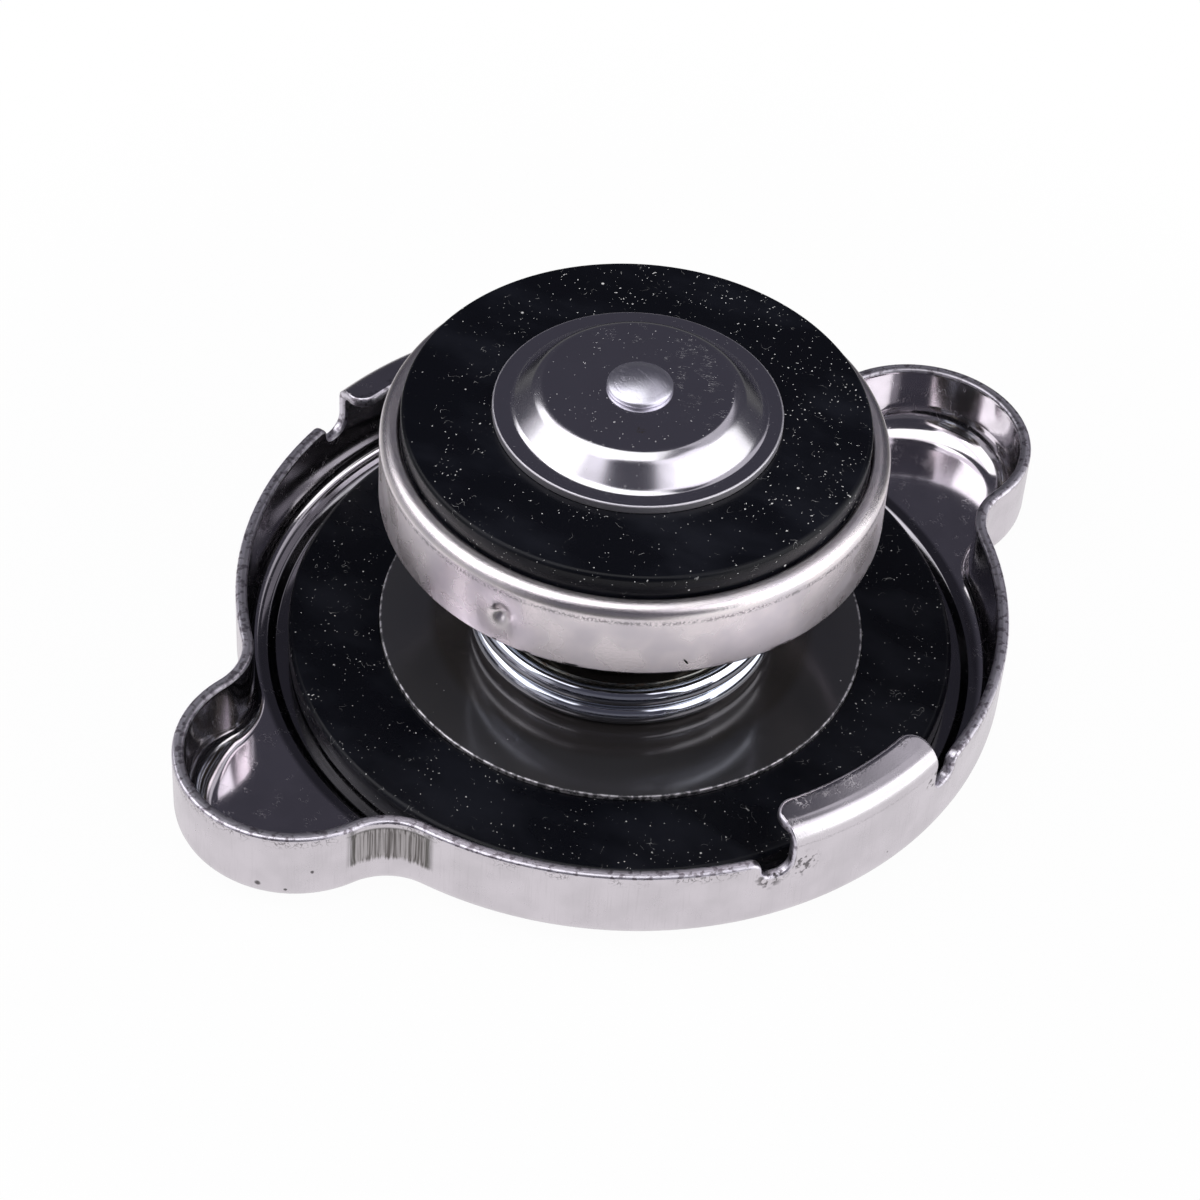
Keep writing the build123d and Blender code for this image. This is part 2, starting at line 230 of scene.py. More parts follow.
def wound(name, coil_radius, wire, centre_z, start, turns, finish, around=20, per_turn=150):
    """Round wire on a helix: circles across the wire, carried along the turns, ends cut square.

    A point is the helix's centre line plus the wire's radius times (outward cos t + across sin t). Each
    cut end is a small bevel round a flat face, which closes on a pole.
    """
    bevel_place = np.array([0, 0, 0.03, 0.08]) / (2 * pi * coil_radius)
    bevel_size = np.array([0, 0.88, 0.97, 1.0])
    inner = np.linspace(0, turns, round(turns * per_turn) + 1)[1:-1]
    travel = np.concatenate([bevel_place, inner, turns - bevel_place[::-1]])
    size = np.concatenate([bevel_size, np.ones(len(inner)), bevel_size[::-1]])
    angle = radians(start) + 2 * pi * travel
    centre = about_axis(coil_radius, angle, centre_z(travel))
    outward = about_axis(1.0, angle, 0.0)
    near = 0.001
    rise = (centre_z(travel + near) - centre_z(travel - near)) / (4 * pi * coil_radius * near)
    across = np.stack([rise * np.sin(angle), -rise * np.cos(angle), np.ones(len(angle))], -1)
    across /= np.linalg.norm(across, axis=1, keepdims=True)
    ring = np.linspace(0, 2 * pi, around, endpoint=False)
    offset = outward[:, None] * np.cos(ring)[:, None] + across[:, None] * np.sin(ring)[:, None]
    points = centre[:, None] + offset * (size * wire / 2)[:, None, None]
    return grid_piece(name, points, finish, wrap_rows=False)


def button(radius, height, base, up=1):
    """Outline of a domed rivet head from its rim to the axis: a short straight edge, then an arc."""
    edge = height / 3
    bevel = 0.08
    rise = height - edge
    ball = (radius**2 + rise**2) / (2 * rise)
    angles = np.linspace(asin(radius / ball), 0, 18)
    arc = np.stack([ball * np.sin(angles), edge + rise - ball + ball * np.cos(angles)], -1)
    rim = [(radius - bevel, 0), (radius - bevel / 4, bevel / 4), (radius, bevel), (radius, edge - bevel)]
    arc[0] = (radius - bevel / 2, edge)
    outline = np.concatenate([rim, arc])
    outline[-1, 0] = 0
    return outline * (1, up) + (0, base)


# Finishes

class Field:
    """A value that changes over a surface. Its operators add Math nodes, so a formula reads as one."""

    def __init__(self, nodes, socket):
        self.nodes = nodes
        self.socket = socket

    def math(self, operation, *values):
        return self.nodes.add("ShaderNodeMath", {"operation": operation}, dict(enumerate(values)))

    def other(self, output):
        """Another output of the node that this value comes from."""
        return Field(self.nodes, self.socket.node.outputs[output])

    def __add__(self, other):
        return self.math("ADD", self, other)

    def __radd__(self, other):
        return self.math("ADD", other, self)

    def __sub__(self, other):
        return self.math("SUBTRACT", self, other)

    def __rsub__(self, other):
        return self.math("SUBTRACT", other, self)

    def __mul__(self, other):
        return self.math("MULTIPLY", self, other)

    def __rmul__(self, other):
        return self.math("MULTIPLY", other, self)

    def __truediv__(self, other):
        return self.math("DIVIDE", self, other)

    def __abs__(self):
        return self.math("ABSOLUTE", self)

    def __pow__(self, other):
        return self.math("POWER", self, other)

    def most(self, other):
        return self.math("MAXIMUM", self, other)

    def step(self, low, high):
        """0 up to low, 1 from high on, a smooth step between; low above high turns it round."""
        values = {"Value": self, "From Min": low, "From Max": high}
        return self.nodes.add("ShaderNodeMapRange", {"interpolation_type": "SMOOTHSTEP"}, values)

    def band(self, low, high, soft):
        """1 between low and high, fading over the soft distance outside them."""
        return self.step(low - soft, low) * self.step(high + soft, high)

    def line(self, middle, width):
        """1 at the middle value, falling to 0 at the width's half on both sides."""
        return abs(self - middle).step(width / 2, 0)


class Nodes:
    """A node tree, with one method that adds any node."""

    def __init__(self, tree):
        self.tree = tree

    def add(self, kind, settings=None, values=None, output=0):
        """A node with its settings, then the values or links of its sockets; gives one of its outputs."""
        node = self.tree.nodes.new(kind)
        for key, value in (settings or {}).items():
            setattr(node, key, value)
        for key, value in (values or {}).items():
            self.feed(node.inputs[key], value)
        return Field(self, node.outputs[output]) if len(node.outputs) else None

    def feed(self, socket, value):
        """Link a field to a socket, or set the socket's own value."""
        if isinstance(value, Field):
            self.tree.links.new(value.socket, socket)
        elif socket.type == "RGBA":
            socket.default_value = (*value, 1)
        else:
            socket.default_value = value

    def split(self, vector):
        x = self.add("ShaderNodeSeparateXYZ", values={0: vector})
        return x, x.other(1), x.other(2)

    def colour(self, share, first, second):
        """From the first colour to the second, by the share."""
        return self.add("ShaderNodeMix", {"data_type": "RGBA"}, {0: share, 6: first, 7: second}, output=2)


class Finish(Nodes):
    """A material whose colour, roughness and bump are formulas of the place on the piece, in mm."""

    def __init__(self, name, constants):
        self.material = bpy.data.materials.new(name)
        self.material.use_nodes = True
        super().__init__(self.material.node_tree)
        self.shader = self.tree.nodes["Principled BSDF"]
        for socket, value in constants.items():
            self.feed(self.shader.inputs[socket], value)
        place = self.add("ShaderNodeTexCoord", output="Object")
        self.place = self.add("ShaderNodeVectorMath", {"operation": "SCALE"}, {0: place, "Scale": 1 / MM})
        self.x, self.y, self.z = self.split(self.place)
        self.radius = (self.x * self.x + self.y * self.y) ** 0.5

    def carried(self, name, output):
        """A value that the mesh carries at its points."""
        return self.add("ShaderNodeAttribute", {"attribute_name": name}, output=output)

    def cloud(self, size, detail=2.0, contrast=0.5):
        """Soft patches about the given size, from 0 to 1."""
        values = {"Vector": self.place, "Scale": 1 / size, "Detail": detail, "Roughness": contrast}
        return self.add("ShaderNodeTexNoise", values=values)

    def grain(self, size):
        """Fine even grit of the given size."""
        return self.cloud(size, contrast=0.7)

    def weave(self, first, second, third, detail=2.0):
        """Noise of three coordinates that are already divided by the sizes wanted."""
        vector = self.add("ShaderNodeCombineXYZ", values={0: first, 1: second, 2: third})
        return self.add("ShaderNodeTexNoise", values={"Vector": vector, "Scale": 1.0, "Detail": detail})

    def streaks_up(self, width, length):
        """Marks drawn along the axis, as a press leaves them on a wall."""
        return self.weave(self.x / width, self.y / width, self.z / length, 3.0)

    def streaks_round(self, across, width, length):
        """Marks drawn about the axis: fine across the given field, long in the turning direction."""
        cosine, sine = self.x / self.radius, self.y / self.radius
        return self.weave(cosine * (1 / length), sine * (1 / length), across / width, 3.0)

    def specks(self, cell, size, share):
        """Round specks, one in a cell, kept where the cell's own random number is within the share."""
        cells = self.add("ShaderNodeTexVoronoi", values={"Vector": self.place, "Scale": 1 / cell})
        chance = self.add("ShaderNodeSeparateColor", values={0: cells.other("Color")})
        reach = size / cell * (0.4 + 0.6 * chance.other(1))
        return (cells / reach).step(1.0, 0.5) * chance.step(1 - share, 1 - share + 0.01)

    def flecks(self, size, share):
        """Small torn flecks, where fine noise is highest, gathered in clouds; a larger share gives more."""
        sum_of_both = self.cloud(size, 1.0) + 0.25 * self.cloud(9 * size)
        return sum_of_both.step(0.93 - share, 0.96 - share)

    def spots(self, places):
        """1 at each place of the piece, falling to 0 at its reach; a place is x, y, z and reach."""
        found = None
        for *centre, reach in places:
            away = self.add("ShaderNodeVectorMath", {"operation": "DISTANCE"}, {0: self.place, 1: centre},
                            output="Value")
            spot = away.step(reach, reach * 0.4)
            found = found.most(spot) if found else spot
        return found

    def bump(self, height):
        """Height in millimetres, turned into the shader's normal."""
        self.feed(self.shader.inputs["Normal"],
                  self.add("ShaderNodeBump", values={"Strength": 1.0, "Distance": MM, "Height": height}))

    def paint(self, colour, roughness, height):
        """Feed the three formulas to the shader and give the finished material."""
        self.feed(self.shader.inputs["Base Color"], colour)
        self.feed(self.shader.inputs["Roughness"], roughness)
        self.bump(height)
        return self.material


def shell_finish():
    """Bright plated pressing: smooth inside, draw marks up its outer wall, a torn edge, the press mark,
    painted shade in the recess round the gasket, a painted dark reflection line under the tab's bend.
    """
    steel = Finish("shell_steel", {"Metallic": 1.0})
    off_mark, height, inward = steel.split(steel.carried("sheet_place", "Vector"))
    inside = steel.carried("inner_face", "Fac").step(0.4, 0.6)
    cut = inward.step(-0.2, -0.7)
    outside = (1 - inside) * (1 - cut)
    draw = steel.streaks_up(0.16, 4.0)
    patches = steel.cloud(3.4)
    grit = steel.grain(0.12)
    torn_weave = steel.cloud(0.5, 4.0)

    scuffs = steel.weave(steel.x / 0.35 + steel.y / 0.8, steel.y / 0.9 - steel.x / 0.5, steel.z)
    scuffs = scuffs.line(0.5, 0.05) * steel.cloud(1.6, 3.0).step(0.56, 0.62)
    scraped = steel.spots(lip_scrape_places) * torn_weave.line(0.5, 0.07) * outside

    strokes = steel.streaks_up(0.16, 9.0)
    ragged = strokes * 0.9 - 0.45
    below = (mark_middle - height).step(mark_height / 2 + 0.25 + ragged, mark_height / 2 - 0.25 + ragged)
    mark = off_mark.step(mark_half_width, mark_half_width - mark_fade) * below
    mark = mark * height.step(rim_z - mark_drop + 0.1, rim_z - mark_drop - 0.1)
    mark_sides = off_mark.line(mark_half_width - 0.2, 1.3) * below * strokes.step(0.3, 0.55)
    mark_top = height.line(rim_z - mark_drop, 0.45) * off_mark.step(mark_half_width + 0.5, mark_half_width)

    near_rim = inward.step(1.0, 0.1) * outside
    rim_dirt = near_rim * torn_weave.line(0.5, 0.1) * steel.cloud(3.0).step(0.45, 0.6)
    notch_dirt = steel.spots(notch_dirt_places) * torn_weave.step(0.5, 0.6)
    # speckled line under the tab's bend, painted dark as a reflection of the dim room
    bend_shade_line = height.line(tab_bend_z - 0.15, 0.5) * grit.step(0.45, 0.65) * outside
    nicks = steel.spots(ear_nick_places).most(steel.specks(2.4, 0.16, 0.14) * outside)
    # dirt at the rim and notches and nicks, together with the painted dark reflection line under the bend
    dirt_and_bend_shade = (rim_dirt * 0.7).most(notch_dirt * 0.8).most(bend_shade_line * 0.35).most(nicks * 0.85)

    bright = steel.colour(patches.step(0.3, 0.7), (0.80, 0.765, 0.80), (0.72, 0.69, 0.72))
    streaked = steel.colour(outside * draw.step(0.52, 0.75) * 0.14, bright, (0.45, 0.43, 0.44))
    pressed = steel.colour(strokes.step(0.36, 0.64), (0.50, 0.48, 0.48), (0.15, 0.14, 0.135))
    worn = steel.colour(mark, streaked, pressed)
    lined = steel.colour((mark_sides * 0.7).most(mark_top * 0.6), worn, (0.07, 0.07, 0.06))
    burr = steel.colour(torn_weave.step(0.5, 0.64), (0.80, 0.77, 0.84), (0.34, 0.31, 0.35))
    torn = steel.colour(inward.step(-1.35, -1.75) * 0.4, burr, (0.08, 0.075, 0.09))
    edged = steel.colour(cut, lined, torn)
    # painted shade: the recess floor inside the shell, between the gasket and the step, is darkened
    recess_shade = inside * steel.radius.band(recess_shade_inner, recess_shade_outer, 0.5) * steel.z.step(2.6, 2.2)
    recess_shaded = steel.colour(recess_shade * 0.75, edged, (0.10, 0.10, 0.115))
    finished = steel.colour(dirt_and_bend_shade, recess_shaded, (0.05, 0.045, 0.045))
    lip = height.step(tab_bend_z + 1.2, tab_bend_z + 1.9)
    bend = height.band(tab_bend_z, tab_bend_z + 1.2, 0.4)
    worked = 0.06 + 0.06 * patches - 0.07 * lip + 0.07 * bend
    roughness = 0.10 + outside * worked + 0.26 * cut + 0.22 * scuffs + 0.15 * mark + 0.4 * scraped
    relief = outside * (0.0010 * draw + 0.0006 * grit) + cut * (0.03 * torn_weave + 0.01 * grit)
    relief = relief - mark * (0.03 * strokes) - 0.03 * mark_top - 0.05 * nicks - 0.004 * dirt_and_bend_shade
    return steel.paint(finished, roughness, relief)


def disc_finish():
    """Bright disc, darker inside a radius round the spring, with fine circular marks, a notched bright edge
    and a little dust.
    """
    steel = Finish("bright_disc", {"Metallic": 0.7})
    rings = steel.streaks_round(steel.radius, 0.05, 0.6)
    haze = steel.cloud(4.0).step(0.35, 0.75)
    dust = steel.specks(1.1, 0.11, 0.16)
    rim = steel.radius.step(disc_high[0] - 0.25, disc_high[0] - 0.1)
    notched = rim * steel.cloud(0.5).step(0.4, 0.6)
    # darker and a little rougher inside the radius round the spring
    darker_middle = steel.radius.step(darker_middle_radius, darker_middle_radius - 1.2)
    plain = steel.colour(darker_middle, (0.145, 0.142, 0.152), (0.115, 0.105, 0.102))
    colour = steel.colour(dust.most(notched), plain, (0.75, 0.73, 0.76))
    roughness = 0.11 + 0.05 * haze + 0.5 * dust + 0.2 * rim + 0.02 * darker_middle
    return steel.paint(colour, roughness, 0.0006 * rings + 0.01 * dust)


def inner_finish():
    """Dull olive steel of the pieces inside, with brown stains."""
    steel = Finish("inner_steel", {"Metallic": 1.0})
    stain = steel.streaks_up(0.7, 4.0).step(0.5, 0.7)
    colour = steel.colour(stain, (0.30, 0.29, 0.25), (0.20, 0.13, 0.08))
    marks = steel.streaks_round(steel.z, 0.07, 0.5)
    return steel.paint(colour, 0.22 + 0.2 * stain, 0.002 * marks)


def wire_finish():
    """Chromed wire: long streaks along it, tiny pits, a blue cast."""
    steel = Finish("spring_wire", {"Metallic": 1.0})
    streaks = steel.streaks_round(steel.z + steel.radius, 0.12, 0.3)
    pits = steel.specks(1.0, 0.08, 0.15)
    haze = steel.cloud(2.0).step(0.4, 0.8)
    drawn = steel.colour(streaks.step(0.35, 0.65), (0.79, 0.84, 0.93), (0.85, 0.89, 0.97))
    colour = steel.colour(pits, drawn, (0.12, 0.12, 0.14))
    return steel.paint(colour, 0.06 + 0.06 * haze + 0.4 * pits, -0.008 * pits)


def cup_finish():
    """Satin pressed cup: grained wall, bright shoulder over a speckled line painted dark as a reflection,
    sparkling ledge.
    """
    steel = Finish("cup_steel", {"Metallic": 1.0})
    grain = steel.grain(0.07)
    coarse = steel.cloud(0.22, 3.0, 0.6)
    patches = steel.cloud(3.2)
    ledge = steel.z.step(cup_high[2] - 0.12, cup_high[2] - 0.02)
    wall = steel.z.step(cup_high[2] - 0.9, cup_high[2] - 1.3)
    # painted dark reflection: a speckled line at the foot of the shoulder
    shoulder_shade_line = steel.z.line(cup_high[2] - 1.3, 0.7) * coarse.step(0.42, 0.58)
    nick_high = steel.z - cup_nick_z
    nick_side = steel.x - cup_nick_x + 0.5 * nick_high
    in_front = steel.y.step(-10, -12)
    nick = ((nick_side / 0.1) ** 2 + (nick_high / 0.3) ** 2).step(1.4, 0.5) * in_front
    scars = steel.z.band(cup_scar_low, cup_scar_high, 0.12) * steel.cloud(2.2).step(0.6, 0.66)
    marks = steel.specks(1.0, 0.1, 0.16)
    shade = steel.colour(patches.step(0.35, 0.7), (0.98, 0.915, 0.93), (0.86, 0.81, 0.85))
    marked = steel.colour((shoulder_shade_line * 0.6).most(marks * 0.5), shade, (0.13, 0.12, 0.13))
    colour = steel.colour(nick.most(scars * 0.8), marked, (0.02, 0.02, 0.02))
    roughness = 0.27 + wall * (0.10 * patches.step(0.3, 0.75) - 0.03) + 0.02 * ledge
    relief = wall * (0.005 * grain + 0.007 * coarse) + (1 - wall) * (0.010 * coarse + 0.008 * grain)
    relief = relief + ledge * (0.014 * coarse + 0.008 * grain)
    relief = relief + 0.002 * steel.streaks_up(0.12, 2.0) - 0.12 * nick - 0.03 * scars
    return steel.paint(colour, roughness + 0.3 * nick, relief)


def plate_finish():
    """Bright domed plate: faint turning marks, dull patches, a pale edge, dust and hairs on the flat top."""
    steel = Finish("plate_steel", {"Metallic": 1.0})
    top = steel.z.step(plate_high[2] - 0.12, plate_high[2] - 0.03)
    flange = steel.z.step(plate_low[2] + 0.95, plate_low[2] + 0.85)
    dust = steel.flecks(0.26, 0.065).most(steel.specks(1.7, 0.2, 0.2)) * (0.25 + 0.75 * top)
    hairs = steel.weave((steel.x + steel.y) / 0.25, (steel.x - steel.y) / 1.6, steel.z).line(0.5, 0.04)
    hairs = hairs * steel.cloud(1.3, 3.0).step(0.52, 0.6) * steel.x.step(-1, 4) * top
    haze = steel.cloud(2.6).step(0.3, 0.75)
    rings = steel.streaks_round(steel.radius + steel.z, 0.05, 0.4)
    grain = steel.grain(0.09)
    colour = steel.colour(haze * 0.3, (0.80, 0.78, 0.83), (0.62, 0.60, 0.64))
    dusty = steel.colour(dust.most(hairs * 0.8), colour, (0.85, 0.84, 0.84))
    fibre = steel.weave(steel.x / 0.5, steel.y / 0.5, steel.z).line(0.5, 0.1)
    fibre = steel.spots([dome_fibre_place]) * fibre
    stained = steel.colour(fibre, dusty, (0.55, 0.48, 0.25))
    edge = steel.radius.step(plate_high[0] - 0.2, plate_high[0] - 0.08)
    roughness = 0.18 - 0.08 * top.most(flange) + 0.04 * haze + 0.4 * dust.most(edge).most(hairs)
    return steel.paint(stained, roughness, 0.0006 * rings + 0.0006 * grain + 0.012 * dust)


def rivet_finish():
    """Pale satin rivet: rings left by the setting tool, short scuffs across the head."""
    metal = Finish("rivet_metal", {"Metallic": 1.0})
    scuffs = metal.weave(metal.x / 0.25, metal.y / 1.3, metal.z / 0.5, 4.0).step(0.55, 0.66)
    grain = metal.grain(0.06)
    rings = metal.radius.line(2.15, 0.22).most(metal.radius.line(1.5, 0.16) * 0.6)
    colour = metal.colour((scuffs * 0.35).most(rings * 0.15), (0.82, 0.81, 0.90), (0.5, 0.48, 0.55))
    roughness = 0.28 + 0.1 * metal.cloud(0.25, 3.0) + 0.1 * scuffs
    return metal.paint(colour, roughness, 0.006 * grain - 0.004 * rings - 0.003 * scuffs)


def rubber_finish():
    """Black moulded rubber: a fine grain, soft swells, wiped patches that are rougher and carry a painted
    bluish sheen, pale dust and lint.
    """
    rubber = Finish("black_rubber", {"Metallic": 0.0, "Specular IOR Level": 0.2})
    grain = rubber.grain(0.05)
    swells = rubber.cloud(1.6, 3.0)
    wiped_with_sheen = rubber.weave(rubber.x / 6 + rubber.y / 9, rubber.y / 14 - rubber.x / 11, rubber.z, 5.0)
    wiped_with_sheen = wiped_with_sheen.step(0.42, 0.72)
    dusty_side = rubber.x.step(-6, 14) * rubber.z.step(10, 20)
    dust = rubber.flecks(0.24, 0.055 + 0.03 * dusty_side).most(rubber.specks(2.6, 0.2, 0.16))
    lint = rubber.cloud(1.1, 1.0).line(0.5, 0.012) * rubber.cloud(1.4, 3.0).step(0.6, 0.68)
    # painted sheen: the wiped patches are coloured lighter and bluish; they are also rougher
    colour = rubber.colour(wiped_with_sheen, (0.0035, 0.004, 0.0065), (0.008, 0.009, 0.014))
    dusty = rubber.colour(dust.most(lint * 0.5), colour, (0.8, 0.8, 0.78))
    relief = 0.002 * grain + 0.02 * swells + 0.012 * dust
    return rubber.paint(dusty, 0.26 + 0.14 * wiped_with_sheen + 0.3 * dust, relief)


shell_steel = shell_finish()
disc_steel = disc_finish()
inner_steel = inner_finish()
spring_chrome = wire_finish()
cup_steel = cup_finish()
plate_steel = plate_finish()
rivet_metal = rivet_finish()
black_rubber = rubber_finish()


# Shell

def fillet_place():
    """The hollow fillet's touching angles on the skirt and on the ear, and the fillet's centre."""
    to_fillet = skirt_radius + ear_fillet
    ear_to_fillet = ear_radius + ear_fillet
    cosine = (to_fillet**2 + ear_centre**2 - ear_to_fillet**2) / (2 * to_fillet * ear_centre)
    angle = acos(cosine)
    x, y = to_fillet * cosine, to_fillet * sin(angle)
    return angle, atan2(y, x - ear_centre), x, y


skirt_from, ear_half, fillet_x, fillet_y = fillet_place()
tab_zone = radians(22.0)
tab_columns, skirt_columns, hollow_columns, ear_columns = 190, 40, 28, 60
tab_edge = skirt_radius * asin(tab_half_width / skirt_radius)
notch_far = tab_edge + notch_width


def bend_path_of_radius(radius):
    """Height along the tab's sheet at which its outer face has the given distance from the axis."""
    inset = skirt_radius - radius
    bend_inset = tab_bend * (1 - cos(lip_turn))
    angle = np.arccos(1 - np.clip(inset, 0, bend_inset) / tab_bend)
    beyond = np.maximum(inset - bend_inset, 0) / sin(lip_turn)
    return tab_bend_z + (tab_bend - sheet / 2) * angle + beyond


def tab_boundary():
    """Cut edge across one tab and its notches: distance along the skirt, height along the sheet.

    Half of it is the lip's arc about the axis, the lip's corner, the tab's side, the notch and the rim;
    the other half is its mirror image. The lip is written in plan, the rest on the wall.
    """
    corner_x = tab_half_width - tab_corner
    corner_y = sqrt((tab_lip + tab_corner) ** 2 - corner_x**2)
    corner_turn = atan2(corner_x, corner_y)
    lip = np.linspace(0, corner_turn, 16)
    corner = np.linspace(-pi / 2 - corner_turn, 0, 10)
    side_y = np.linspace(corner_y, sqrt(skirt_radius**2 - tab_half_width**2), 12)
    side_x = np.full(len(side_y), tab_half_width)
    x = np.concatenate([tab_lip * np.sin(lip), corner_x + tab_corner * np.cos(corner), side_x])
    y = np.concatenate([tab_lip * np.cos(lip), corner_y + tab_corner * np.sin(corner), side_y])
    lip = np.stack([skirt_radius * np.arctan2(x, y), bend_path_of_radius(np.hypot(x, y))], -1)
    low = rim_z - notch_depth
    wall = rounded(
        [
            (tab_edge, tab_bend_z), (tab_edge, low), (notch_far, low), (notch_far, rim_z),
            (skirt_radius * tab_zone, rim_z),
        ],
        [0, notch_near_bend, notch_far_bend, notch_rim_bend, 0],
        step=9,
    )
    half = np.concatenate([lip[:-1], wall])
    half = half[np.r_[True, np.hypot(*np.diff(half, axis=0).T) > 1e-6]]
    return np.concatenate([half[:0:-1] * (-1, 1), half])


def tab_foot(top):
    """Where each column of the tab's zone stands on the plain wall, spread so that no columns cross."""
    length = run_along(top)
    middle = length[-1] / 2
    right = top[:, 0] > 0
    out = np.abs(length - middle)
    side_start = out[right & (top[:, 1] < tab_bend_z)].min()
    rim_start = out[right & (top[:, 0] > notch_far - 0.02)].min()
    knots = [0, side_start, side_start + 0.3, rim_start, rim_start + 0.9, middle]
    places = [0, tab_edge - 0.15, tab_edge, notch_far, notch_far + 0.7, skirt_radius * tab_zone]
    return np.sign(length - middle) * np.interp(out, knots, places)


def shell_columns():
    """The columns of the shell's grid, round the cap: arc centre, arc radius, side, angles and top."""
    top = tab_boundary()
    length = run_along(top)
    even = np.linspace(0, length[-1], tab_columns + 1)
    top = np.stack([np.interp(even, length, top[:, 0]), np.interp(even, length, top[:, 1])], -1)
    foot = tab_foot(top)
    along = np.gradient(top, axis=0)
    along /= np.hypot(*along.T)[:, None]
    tab = {
        "centre": np.zeros((tab_columns, 2)),
        "radius": np.full(tab_columns, skirt_radius),
        "side": np.ones(tab_columns),
        "foot": -pi / 2 + foot[:-1] / skirt_radius,
        "top": -pi / 2 + top[:-1, 0] / skirt_radius,
        "height": top[:-1, 1],
        "out": np.stack([-along[:-1, 1], along[:-1, 0]], -1),
        "bent": np.abs(top[:-1, 0]) < tab_edge + notch_width / 2,
    }

    def arc(centre, radius, side, start, end, count):
        angle = start + (end - start) * np.arange(count) / count
        return {
            "centre": np.tile(np.array(centre, float), (count, 1)),
            "radius": np.full(count, radius),
            "side": np.full(count, side),
            "foot": angle,
            "top": angle,
            "height": np.full(count, rim_z),
            "out": np.tile(np.array([0.0, 1.0]), (count, 1)),
            "bent": np.zeros(count, bool),
        }

    parts = [
        tab,
        arc((0, 0), skirt_radius, 1.0, -pi / 2 + tab_zone, -skirt_from, skirt_columns),
        arc((fillet_x, -fillet_y), ear_fillet, -1.0, pi - skirt_from, pi - ear_half, hollow_columns),
        arc((ear_centre, 0), ear_radius, 1.0, -ear_half, ear_half, ear_columns),
        arc((fillet_x, fillet_y), ear_fillet, -1.0, pi + ear_half, pi + skirt_from, hollow_columns),
        arc((0, 0), skirt_radius, 1.0, skirt_from, pi / 2 - tab_zone, skirt_columns),
    ]
    half = {key: np.concatenate([part[key] for part in parts]) for key in tab}
    other = dict(half, centre=-half["centre"], foot=half["foot"] + pi, top=half["top"] + pi)
    return {key: np.concatenate([half[key], other[key]]) for key in half}


def column_points(columns, angle, inset, z):
    """Points moved in from the outline by inset: a round stretch shrinks, a hollow one grows."""
    points = about_axis(columns["radius"] - columns["side"] * inset, angle, z)
    points[:, :2] += columns["centre"]
    return points


def from_mark(plain):
    """Distance of each column along the outline from the press mark's middle, up to three half widths."""
    turn = skirt_from + ear_half / 3
    middle = np.array([-fillet_x + ear_fillet * cos(turn), -fillet_y + ear_fillet * sin(turn)])
    along = run_along(plain[:, :2])
    start = along[np.hypot(*(plain[:, :2] - middle).T).argmin()]
    return np.minimum(np.abs(along - start), 3 * mark_half_width)


